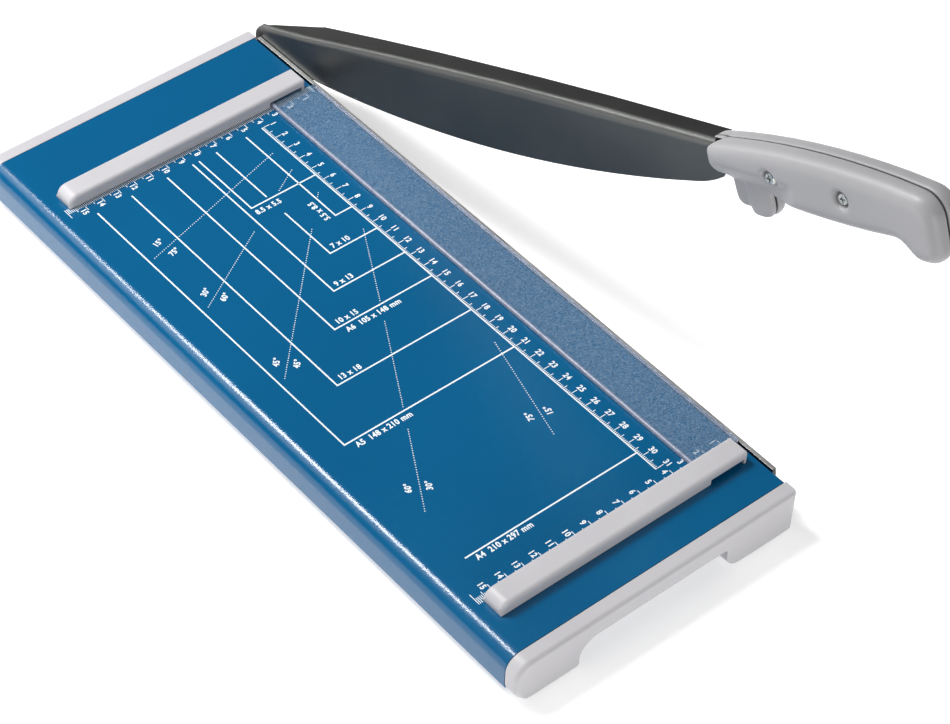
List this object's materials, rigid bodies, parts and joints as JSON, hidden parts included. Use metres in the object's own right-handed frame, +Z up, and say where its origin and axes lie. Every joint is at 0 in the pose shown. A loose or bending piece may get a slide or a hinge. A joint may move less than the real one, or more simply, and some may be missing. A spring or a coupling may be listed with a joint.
{
  "type": "guillotine paper cutter",
  "caption": "Desk paper cutter: folded steel table with stop rails, clear guard and fixed lower blade, and a swinging blade arm with a moulded grip.",
  "frame": {"origin": "on the desk under the middle of the object's box, with the arm raised as in the picture", "axes": "+X from the table towards the blade's side, +Y from the handle's end towards the pivot, +Z up"},
  "size_m": [0.1852, 0.4702, 0.2333],
  "materials": {
    "deck_paint": "semi-gloss blue paint",
    "cap_plastic": "fine-textured light grey moulding",
    "handle_plastic": "smooth mid grey moulding",
    "blade_steel": "dark satin steel",
    "bar_steel": "blackened steel",
    "guard_sheet": "frosted clear plastic sheet",
    "zinc": "zinc plated",
    "bush_brass": "plain turned brass",
    "pad_rubber": "matt black rubber"
  },
  "bodies": {
    "table": {"table_deck": "deck_paint", "near_end_cap": "cap_plastic", "far_end_cap": "cap_plastic", "near_stop_rail": "cap_plastic", "far_stop_rail": "cap_plastic", "foot_pad_near_left": "pad_rubber", "foot_pad_near_right": "pad_rubber", "foot_pad_far_left": "pad_rubber", "foot_pad_far_right": "pad_rubber", "end_cap_nut_near_left": "zinc", "end_cap_nut_near_right": "zinc", "end_cap_nut_far_left": "zinc", "end_cap_nut_far_right": "zinc", "rail_screw_near_left": "zinc", "rail_screw_near_right": "zinc", "rail_screw_far_left": "zinc", "rail_screw_far_right": "zinc", "lower_blade": "bar_steel", "lower_blade_screw_1": "zinc", "lower_blade_screw_2": "zinc", "lower_blade_screw_3": "zinc", "lower_blade_screw_4": "zinc", "lower_blade_nut_1": "zinc", "lower_blade_nut_2": "zinc", "lower_blade_nut_3": "zinc", "lower_blade_nut_4": "zinc", "pivot_block": "bar_steel", "pivot_bolt": "zinc", "pivot_spring_washer": "zinc", "pivot_flat_washer": "zinc", "pivot_lock_nut": "zinc"},
    "guard": {"cutting_guard": "guard_sheet"},
    "arm": {"blade_arm": "blade_steel", "pivot_bush": "bush_brass", "handle_left_shell": "handle_plastic", "handle_right_shell": "handle_plastic", "handle_screw_front": "zinc", "handle_screw_rear": "zinc"}
  },
  "joints": [
    {"name": "arm_swing", "type": "hinge", "parent": "table", "child": "arm", "pos_m": [0.07855, 0.21449, 0.014], "axis": [-1, 0, 0], "range_deg": [-23.4, 37]},
    {"name": "guard_lift", "type": "slide", "parent": "table", "child": "guard", "axis": [0, 0, 1], "range_m": [0, 0.0006]}
  ]
}
